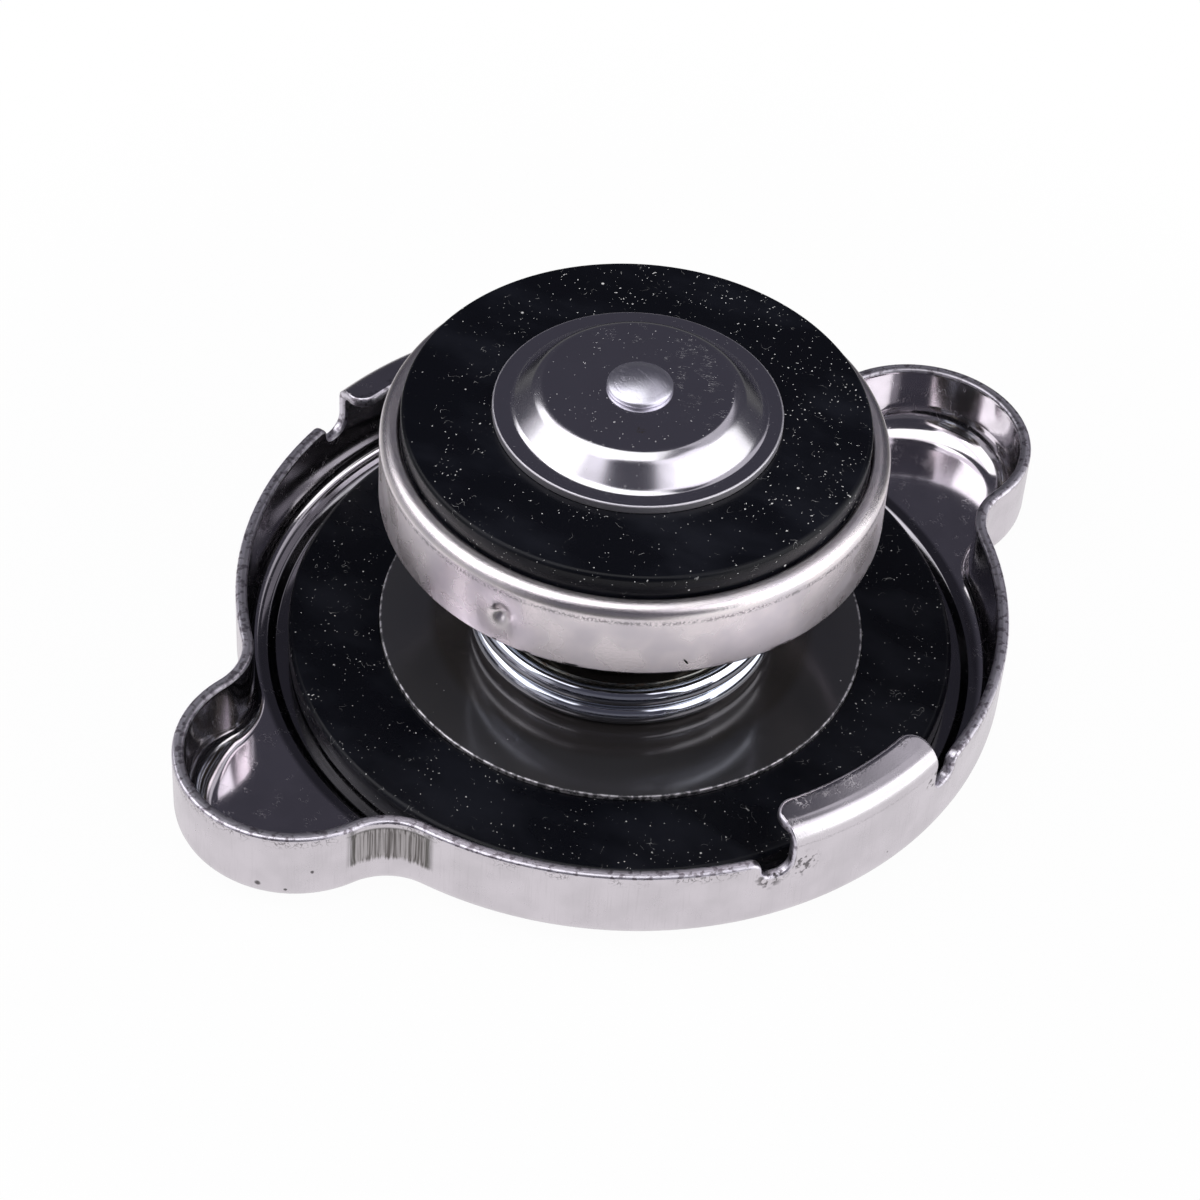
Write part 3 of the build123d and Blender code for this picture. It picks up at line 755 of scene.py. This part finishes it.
def shell_grid():
    """The whole pressing as one closed grid: out along the crown, up the wall, over the cut edge, back.

    On the wall a column runs straight, on the unrolled sheet, from its foot to its place on the cut
    edge; on the tabs the sheet then follows the bend's circle, and the lip leaves it a little upwards.
    Each point also gets its place on the sheet: distance from the press mark, height along the sheet,
    distance from the cut edge, which is below zero on the cut face and goes from -1 outside to -2
    inside. The last list marks inner rows.
    """
    columns = shell_columns()
    plain = column_points(columns, columns["foot"], 0.0, 0.0)
    polar = np.arctan2(plain[:, 1], plain[:, 0])
    off_mark = from_mark(plain)
    ear_share = np.clip((np.abs(plain[:, 0]) - ear_blend_from) / ear_blend_run, 0, 1)
    ear_share = ear_share**2 * (3 - 2 * ear_share)
    inner_bend = inner_corner_radius + (ear_inner_corner - inner_corner_radius) * ear_share
    rows, places = [], []

    def put(points, height, inward):
        rows.append(points)
        full = np.ones(len(polar))
        places.append(np.stack([off_mark, height * full, inward * full], -1))

    def circle(radius, z):
        put(about_axis(radius, polar, z), 0, 9)

    def wall(share, pulled, depth, foot_z, pressed=0.0, inward=None):
        top_angle = columns["top"] - pulled * columns["out"][:, 0] / skirt_radius
        top_height = columns["height"] - pulled * columns["out"][:, 1]
        angle = columns["foot"] + share * (top_angle - columns["foot"])
        height = foot_z + share * (top_height - foot_z)
        turn = np.clip((height - tab_bend_z) / (tab_bend - sheet / 2), 0, lip_turn)
        flat = np.maximum(height - tab_bend_z - (tab_bend - sheet / 2) * lip_turn, 0)
        bent_inset = tab_bend - (tab_bend - depth) * np.cos(turn) + flat * sin(lip_turn)
        bent_z = np.minimum(height, tab_bend_z) + (tab_bend - depth) * np.sin(turn) + flat * cos(lip_turn)
        up = np.clip(1.5 - np.abs(height - mark_middle) / (mark_height / 2) * 1.5 + 0.4, 0, 1)
        side = np.clip((mark_half_width - off_mark) / mark_fade + 0.5, 0, 1)
        inset = np.where(columns["bent"], bent_inset, depth + pressed * up * side)
        z = np.where(columns["bent"], bent_z, height)
        from_edge = (1 - share) * (top_height - foot_z)
        put(column_points(columns, angle, inset, z), height, from_edge if inward is None else inward)

    pocket_foot = pocket_radius + pocket_run
    join = crown_edge + step_run
    foot = crown_edge - step_run
    outer = rounded(
        [
            (shank_radius, pocket_floor), (pocket_radius - sheet / 4, pocket_floor),
            (pocket_foot - sheet / 4, 0), (foot + sheet / 4, 0),
            (crown_edge + sheet / 4, crown_step), (join, crown_step),
        ],
        [0, 0.5, 0.8, 0.6, 0.3, 0],
    )
    inner = rounded(
        [
            (join, crown_step + sheet), (crown_edge, crown_step + sheet),
            (foot, sheet), (pocket_foot + sheet / 2, sheet),
            (pocket_radius + sheet / 2, disc_low[2]), (shank_radius, disc_low[2]),
        ],
        [0, 0.5, 0.4, 0.3, 0.5, 0],
    )
    outer_foot = crown_step + corner_radius
    inner_foot = crown_step + sheet + ear_inner_corner + 0.1
    bend_from, bend_to = 0.6, 0.86
    below, along_bend = np.linspace(0, bend_from, 9), np.linspace(bend_from, bend_to, 14)[1:]
    shares = np.concatenate([below, along_bend, np.linspace(bend_to, 1, 6)[1:]])
    for r, z in outer:
        circle(r, z)
    for angle in np.radians(np.linspace(0, 90, 8)[:-1]):
        z = crown_step + corner_radius * (1 - np.cos(angle))
        put(column_points(columns, columns["foot"], corner_radius * (1 - np.sin(angle)), z), 0, 9)
    for share in shares:
        wall(share, cut_edge, 0.0, outer_foot, pressed=mark_depth)
    for angle in np.radians([30, 60, 90]):
        wall(1.0, cut_edge * (1 - sin(angle)), cut_edge * (1 - cos(angle)), outer_foot, inward=-1)
    outer_rows = len(rows)
    for angle in np.radians([90, 60, 30]):
        wall(1.0, cut_edge * (1 - sin(angle)), sheet - cut_edge * (1 - cos(angle)), inner_foot, inward=-2)
    for share in shares[::-2]:
        wall(share, cut_edge, sheet, inner_foot)
    for angle in np.radians(np.linspace(90, 0, 9)):
        inset = sheet + inner_bend * (1 - np.sin(angle))
        z = crown_step + sheet + inner_bend * (1 - np.cos(angle))
        put(column_points(columns, columns["foot"], inset, z), 0, 9)
    for r, z in inner:
        circle(r, z)
    inner_face = np.repeat(np.arange(len(rows)) >= outer_rows, len(polar)).astype(float)
    return np.stack(rows), np.stack(places), inner_face


shell_points, shell_places, shell_inner_face = shell_grid()
shell = grid_piece("pressed_shell", shell_points, shell_steel)
sheet_place = shell.data.attributes.new("sheet_place", "FLOAT_VECTOR", "POINT")
sheet_place.data.foreach_set("vector", shell_places.ravel())
inner_face = shell.data.attributes.new("inner_face", "FLOAT", "POINT")
inner_face.data.foreach_set("value", shell_inner_face)


# Turned pieces

def ring_section(inner, outer, low, high, edge, dent_radius=None, dent=0.0):
    """Section of a flat ring, rounded outside, its upper face lowered inside the dent's radius."""
    corners = [(inner, low), (outer, low), (outer, high)]
    radii = [edge / 2, edge, edge]
    if dent_radius:
        corners += [(dent_radius, high), (dent_radius, high - dent)]
        radii += [dent / 2, 0]
    corners.append((inner, high - dent))
    radii.append(edge / 2)
    return rounded(corners, radii, closed=True)


disc_radius = disc_high[0]
gasket_hole = 9.5
dent_play = 0.06
rubber_dent = 0.1
gasket_dent = disc_radius + dent_play
gasket = turned(
    "rubber_neck_gasket",
    ring_section(gasket_hole, gasket_high[0], gasket_low[2], gasket_high[2], 0.45, gasket_dent, rubber_dent),
    black_rubber,
)
disc = turned(
    "bright_clamp_disc",
    ring_section(shank_radius, disc_radius, disc_low[2], disc_high[2], 0.14),
    disc_steel,
)
bell_wall = 0.8
bell_radius = 7.6
bell_bore = bell_radius - bell_wall
bell_floor = bell_low[2] + bell_wall
lip_bottom = bell_high[2] - bell_wall
bell = turned(
    "guide_bell_tube",
    rounded(
        [
            (shank_radius, bell_low[2]), (bell_radius, bell_low[2]),
            (bell_radius, lip_bottom), (bell_high[0], lip_bottom),
            (bell_high[0], bell_high[2]), (bell_bore, bell_high[2]),
            (bell_bore, bell_floor), (shank_radius, bell_floor),
        ],
        [0, 1.2, 0.3, 0.2, 0.2, 0.8, 0.4, 0],
        closed=True,
    ),
    inner_steel,
)
shank_play = 0.02
rivet_shank = shank_radius - shank_play
rivet_tail = 3.8
head = button(rivet_high[0], pocket_floor - rivet_low[2], pocket_floor, -1)[::-1]
tail = button(rivet_tail, rivet_high[2] - bell_floor, bell_floor)
rivet = turned(
    "crown_rivet",
    np.concatenate([head, [(rivet_shank, pocket_floor), (rivet_shank, bell_floor)], tail]),
    rivet_metal,
    columns=96,
)
seat_wall = 0.8
seat_bend = 0.9
seat_rim = 0.4
well_radius = 10.3
well_bore = well_radius - seat_wall
well_floor = seat_low[2]
flange_top = seat_high[2] - seat_rim
flange_bottom = flange_top - seat_wall
seat_hole = bell_radius + 0.1
rim_bore = seat_high[0] - seat_wall
seat = turned(
    "spring_seat_plate",
    rounded(
        [
            (seat_hole, well_floor), (well_radius, well_floor),
            (well_radius, flange_bottom), (seat_high[0], flange_bottom),
            (seat_high[0], seat_high[2]), (rim_bore, seat_high[2]),
            (rim_bore, flange_top), (well_bore, flange_top),
            (well_bore, well_floor + seat_wall), (seat_hole, well_floor + seat_wall),
        ],
        [0.1, seat_bend, 0.1, 0.4, 0.1, 0.1, 0.1, seat_bend, 0.1, 0.3],
        closed=True,
    ),
    inner_steel,
)
seal_hole = 9.0
plate_radius = plate_high[0]
seal_dent = plate_radius + dent_play
seal = turned(
    "rubber_valve_seal",
    ring_section(seal_hole, seal_high[0], seal_low[2], seal_high[2], 0.4, seal_dent, rubber_dent),
    black_rubber,
)
plate_sheet = 0.8
plate_flange = 1.5
dome_slope = 2.6
dome_foot = plate_radius - plate_flange
dome_top = dome_foot - dome_slope
dome_shoulder = 2.0
dome_root = 1.1
dome_z = plate_high[2]
stem_hole = 1.42
plate = turned(
    "domed_vacuum_plate",
    rounded(
        [
            (stem_hole, dome_z - plate_sheet), (dome_top, dome_z - plate_sheet),
            (dome_foot - plate_sheet / 2, plate_low[2]), (plate_radius, plate_low[2]),
            (plate_radius, plate_low[2] + plate_sheet), (dome_foot, plate_low[2] + plate_sheet),
            (dome_top + plate_sheet / 2, dome_z), (stem_hole, dome_z),
        ],
        [0, dome_shoulder - plate_sheet, dome_root + plate_sheet, 0.15, 0.15, dome_root, dome_shoulder, 0],
        closed=True,
        step=5,
    ),
    plate_steel,
)
washer_bottom = washer_low[2]
stem_radius = stem_hole - shank_play
stem_tail_radius = 2.1
stem_top = button(stem_high[0], stem_high[2] - dome_z, dome_z)
stem_tail = button(stem_tail_radius, washer_bottom - stem_low[2], washer_bottom, -1)[::-1]
stem = turned(
    "vacuum_stem_rivet",
    np.concatenate([stem_tail, [(stem_radius, washer_bottom), (stem_radius, dome_z)], stem_top]),
    rivet_metal,
    columns=128,
)
washer = turned(
    "stem_end_washer",
    ring_section(stem_hole, washer_high[0], washer_low[2], washer_high[2], 0.1),
    inner_steel,
    columns=128,
)


# Valve cup with its dimples

cup_radius = cup_high[0]
cup_sheet = 0.9
cup_bend = 1.05
cup_hole = 1.5
cup_ledge = 1.58
ledge_inner = cup_radius - cup_ledge
seal_floor = seal_low[2]
cup_inner_face = seal_floor - cup_sheet


def cup_section():
    """Section of the cup: floor under the rubber, ledge, rounded shoulder and wall."""
    under = cup_high[2] - cup_sheet
    bore = cup_radius - cup_sheet
    step_outer = ledge_inner + cup_sheet / 3
    return rounded(
        [
            (cup_hole, cup_inner_face), (step_outer, cup_inner_face),
            (step_outer, under), (bore, under),
            (bore, cup_low[2]), (cup_radius, cup_low[2]),
            (cup_radius, cup_high[2]), (ledge_inner, cup_high[2]),
            (ledge_inner, seal_floor), (cup_hole, seal_floor),
        ],
        [0, 0.1, 0.1, 0.1, 0.2, 0.25, cup_bend, 0.25, 0.1, 0],
        closed=True,
        step=8,
    )


dimple_z = flange_bottom - 1.2
dimple_angles = np.radians([-158.0, -38.0, 82.0])
dimple_reach = 2.4
pit_depth, pit_radius = 0.5, 0.62
hollow_depth, hollow_radius = 0.25, 1.7


def refined(section, low, high, step):
    """The section with extra points on its long upright stretches between two heights."""
    points = []
    for here, after in zip(section, np.roll(section, -1, 0)):
        points.append(here)
        if abs(here[0] - after[0]) < 1e-6 and abs(here[1] - after[1]) > 1:
            z = np.arange(low, high, step)
            z = z[(z > min(here[1], after[1])) & (z < max(here[1], after[1]))]
            z = z if after[1] > here[1] else z[::-1]
            points += [(here[0], value) for value in z]
    return np.array(points)


def cup_grid():
    """The section turned about the axis, its wall pushed in round each dimple.

    The push is a narrow bell-shaped pit in a wide shallow hollow, by the distance from its centre.
    """
    section = refined(cup_section(), dimple_z - dimple_reach, dimple_z + dimple_reach, 0.16)
    near = np.radians(np.arange(-6, 6, 0.3))
    angles = np.linspace(0, 2 * pi, 270, endpoint=False)
    angles = np.concatenate([angles] + [a + near for a in dimple_angles])
    angles = np.unique(np.round(np.mod(angles, 2 * pi), 4))
    radius = np.tile(section[:, None, 0], (1, len(angles)))
    z = np.tile(section[:, None, 1], (1, len(angles)))
    wall = np.clip((radius - (cup_radius - cup_sheet - 0.1)) / 0.1, 0, 1)
    wall *= np.clip((cup_high[2] - cup_bend - z) / 0.4, 0, 1)
    for middle in dimple_angles:
        turn = np.mod(angles - middle + pi, 2 * pi) - pi
        away = np.hypot(cup_radius * turn[None], z - dimple_z)
        pit = pit_depth / (1 + (away / pit_radius) ** 4)
        hollow = hollow_depth * np.exp(-((away / hollow_radius) ** 2))
        radius = radius - (pit + hollow) * wall
    return about_axis(radius, angles, z)


cup = grid_piece("pressed_valve_cup", cup_grid(), cup_steel)


# Springs

coil_seat = 0.02


def eased_climb(share, ease=0.12):
    """From 0 to 1 in a straight climb, with a short curved run at each end."""
    steep = 1 / (1 - ease)
    start = steep * share**2 / (2 * ease)
    end = 1 - steep * (1 - share) ** 2 / (2 * ease)
    middle = steep * (share - ease / 2)
    return np.where(share < ease, start, np.where(share > 1 - ease, end, middle))


def end_turn(turn):
    """From 0 to 1 over one turn: flat for half a turn, then up over the wire's own end."""
    climb = np.clip(2 * turn - 1, 0, 1)
    return climb**2 * (3 - 2 * climb)


def coil_height(low, high, wire, turns, closed_low, closed_high, gap=0.06):
    """Height of the wire's centre after a number of turns: end turns that lie together, a climb between."""
    pitch = wire + gap
    bottom = low + coil_seat + wire / 2
    spare = high - coil_seat - wire / 2 - bottom - 2 * pitch

    def height(travel):
        share = np.clip((travel - closed_low) / (turns - closed_low - closed_high), 0, 1)
        ends = end_turn(travel) + 1 - end_turn(turns - travel)
        return bottom + pitch * ends + spare * eased_climb(share)

    return height


wire = 2.0
coil_play = 0.9
main_turns = 4.6
main_coil = wound(
    "pressure_spring_wire",
    well_radius + coil_play + wire / 2,
    wire,
    coil_height(disc_high[2], flange_bottom, wire, main_turns, 1.4, 1.0),
    140.0,
    main_turns,
    spring_chrome,
    around=28,
    per_turn=180,
)
small_wire = 0.45
small_turns = 5.0
small_radius = 2.9
small_coil = wound(
    "vacuum_spring_wire",
    small_radius,
    small_wire,
    coil_height(washer_high[2], cup_inner_face, small_wire, small_turns, 1, 1),
    0.0,
    small_turns,
    spring_chrome,
    around=14,
    per_turn=72,
)

riders = [
    (shell, "cap_shell", "root", "shell_steel"),
    (gasket, "neck_gasket", "root", "black_rubber"),
    (disc, "clamp_disc", "root", "bright_disc"),
    (bell, "guide_bell", "root", "inner_steel"),
    (rivet, "centre_rivet", "root", "rivet_metal"),
    (main_coil, "main_spring", "root", "spring_wire"),
    (seat, "spring_seat", "spring_seat", "inner_steel"),
    (cup, "valve_cup", "pressure_valve", "cup_steel"),
    (seal, "valve_seal", "pressure_valve", "black_rubber"),
    (small_coil, "vacuum_spring", "pressure_valve", "spring_wire"),
    (plate, "vacuum_plate", "vacuum_valve", "plate_steel"),
    (stem, "vacuum_stem", "vacuum_valve", "rivet_metal"),
    (washer, "stem_washer", "vacuum_valve", "inner_steel"),
]
for piece, node, body, slot in riders:
    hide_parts(node)
    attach(piece, body)

slide_travel = 6.0
main_height = flange_bottom - disc_high[2]
1 - slide_travel / main_height
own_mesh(main_coil)
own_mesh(small_coil)


# Camera, floor and light

view_azimuth = radians(-40.2)
view_elevation = radians(44.79)
view_roll = radians(4.27)
view_distance = 300.0
view_shift = (-2.08, -1.93)
view_aim = (0.0, 0.0, 9.0)
focal_pixels = 3521.3
photo_pixels = 1200
toward_camera = degrees(view_azimuth) - 90


def place_camera():
    """The photo's view: an orbit about the cap, rolled a little, and moved across the view by the shift."""
    turn = Matrix.Rotation(view_azimuth, 3, "Z")
    back = Vector((0, -cos(view_elevation), sin(view_elevation)))
    right = Vector((1, 0, 0))
    up = Vector((0, sin(view_elevation), cos(view_elevation)))
    rolled_right = cos(view_roll) * right + sin(view_roll) * up
    rolled_up = cos(view_roll) * up - sin(view_roll) * right
    place = back * view_distance + rolled_right * view_shift[0] + rolled_up * view_shift[1]
    place = turn @ place + Vector(view_aim)
    axes = Matrix([turn @ rolled_right, turn @ rolled_up, turn @ back]).transposed()
    data = bpy.data.cameras.new("camera")
    data.sensor_width = 36
    data.lens = focal_pixels / photo_pixels * data.sensor_width
    camera = put_in_scene("camera", data)
    camera.matrix_world = Matrix.Translation(place * MM) @ axes.to_4x4()
    bpy.context.scene.camera = camera


place_camera()


def around_view(nodes, x, y):
    """Azimuth in degrees from the front of the view, growing to the right of the picture."""
    front = radians(toward_camera)
    toward = x * cos(front) + y * sin(front)
    right = y * cos(front) - x * sin(front)
    return toward.math("ARCTAN2", right, toward) * degrees(1)


def place_floor():
    """A pale round table, nearly white to the eye, with the cap's soft shadow left on it.

    Mirrors see it grey near the cap, and farther off dark with a paler part at each side.
    """
    corners, radius, drop = 96, 3.0, 0.00002
    rim = about_axis(radius, np.linspace(0, 2 * pi, corners, endpoint=False), -drop)
    mesh = bpy.data.meshes.new("floor")
    mesh.from_pydata(rim.tolist(), [], [list(range(corners))])
    material = bpy.data.materials.new("pale_floor")
    material.use_nodes = True
    nodes = Nodes(material.node_tree)
    nodes.tree.nodes.clear()
    x, y, _ = nodes.split(nodes.add("ShaderNodeTexCoord", output="Object"))
    away = (x * x + y * y) ** 0.5
    azimuth = around_view(nodes, x, y)
    side = 0.12 + 0.8 * azimuth.band(25, 110, 12) + 0.3 * azimuth.band(-125, -50, 12)
    far = away.step(0.055, 0.09)
    mirrored = nodes.colour(far, (0.77, 0.75, 0.77), nodes.add(
        "ShaderNodeCombineColor", values={0: side, 1: side, 2: side}))
    path = nodes.add("ShaderNodeLightPath", output="Is Camera Ray")
    glossy = path.other("Is Glossy Ray")
    shown = nodes.colour(glossy, (1.0, 1.0, 1.0), mirrored)
    diffuse = nodes.add("ShaderNodeBsdfDiffuse", values={"Color": (0.95, 0.95, 0.95)})
    glow = nodes.add("ShaderNodeEmission", values={"Color": shown, "Strength": 1.0})
    share = path * (0.96 + 0.04 * away.step(0.06, 0.1)) + glossy
    surface = nodes.add("ShaderNodeMixShader", values={0: share, 1: diffuse, 2: glow})
    nodes.add("ShaderNodeOutputMaterial", values={"Surface": surface})
    mesh.materials.append(material)
    put_in_scene("floor", mesh)


place_floor()


def softbox(name, azimuth, elevation, distance, width, height, radiance):
    """A rectangular soft light facing the cap, at an azimuth from the view's front; power from radiance."""
    data = bpy.data.lights.new(name, "AREA")
    data.shape = "RECTANGLE"
    data.size, data.size_y = width, height
    data.energy = radiance * width * height * pi
    lamp = put_in_scene(name, data)
    azimuth, elevation = radians(azimuth + toward_camera), radians(elevation)
    out = Vector((cos(elevation) * cos(azimuth), cos(elevation) * sin(azimuth), sin(elevation)))
    lamp.location = out * distance
    lamp.rotation_euler = out.to_track_quat("Z", "Y").to_euler()


softbox("top_softbox", azimuth=-80, elevation=82, distance=0.8, width=0.62, height=0.6, radiance=1.5)
softbox("left_softbox", azimuth=-91, elevation=38, distance=0.9, width=1.0, height=0.42, radiance=1.4)
softbox("right_softbox", azimuth=78, elevation=24, distance=0.9, width=1.15, height=0.85, radiance=1.4)


def light_world():
    """White to the eye. Mirrors and shade see a dim studio: low pale walls, and panels high at the sides."""
    world = bpy.data.worlds.new("studio")
    bpy.context.scene.world = world
    world.use_nodes = True
    nodes = Nodes(world.node_tree)
    nodes.tree.nodes.clear()
    x, y, z = nodes.split(nodes.add("ShaderNodeTexCoord", output="Generated"))
    azimuth = around_view(nodes, x, y)
    elevation = z.math("ARCSINE", z) * degrees(1)
    left_wall = azimuth.band(-110, -45, 6) * elevation.band(-20, 25, 6)
    far_right = azimuth.band(112, 160.5, 2) * elevation.band(42, 62, 4)
    shoulders = elevation.band(44, 64, 4) * (azimuth.band(29, 104, 6) + azimuth.band(-125, -33, 6))
    front = azimuth.band(-45, 20, 10) * elevation.band(-30, 20, 8)
    right_low = azimuth.band(30, 110, 10) * elevation.band(-30, 0, 8)
    light = 0.05 + 0.34 * left_wall + 0.5 * far_right + 1.2 * shoulders + 0.06 * front + 0.8 * right_low
    room = nodes.add("ShaderNodeBackground", values={"Color": nodes.add(
        "ShaderNodeCombineColor", values={0: light, 1: light * 0.97, 2: light * 1.03 + 0.012})})
    white = nodes.add("ShaderNodeBackground", values={"Color": (1.0, 1.0, 1.0)})
    path = nodes.add("ShaderNodeLightPath", output="Is Camera Ray")
    nodes.add("ShaderNodeOutputWorld", values={"Surface": nodes.add(
        "ShaderNodeMixShader", values={0: path, 1: room, 2: white})})


light_world()
bpy.context.scene.view_settings.view_transform = "Standard"
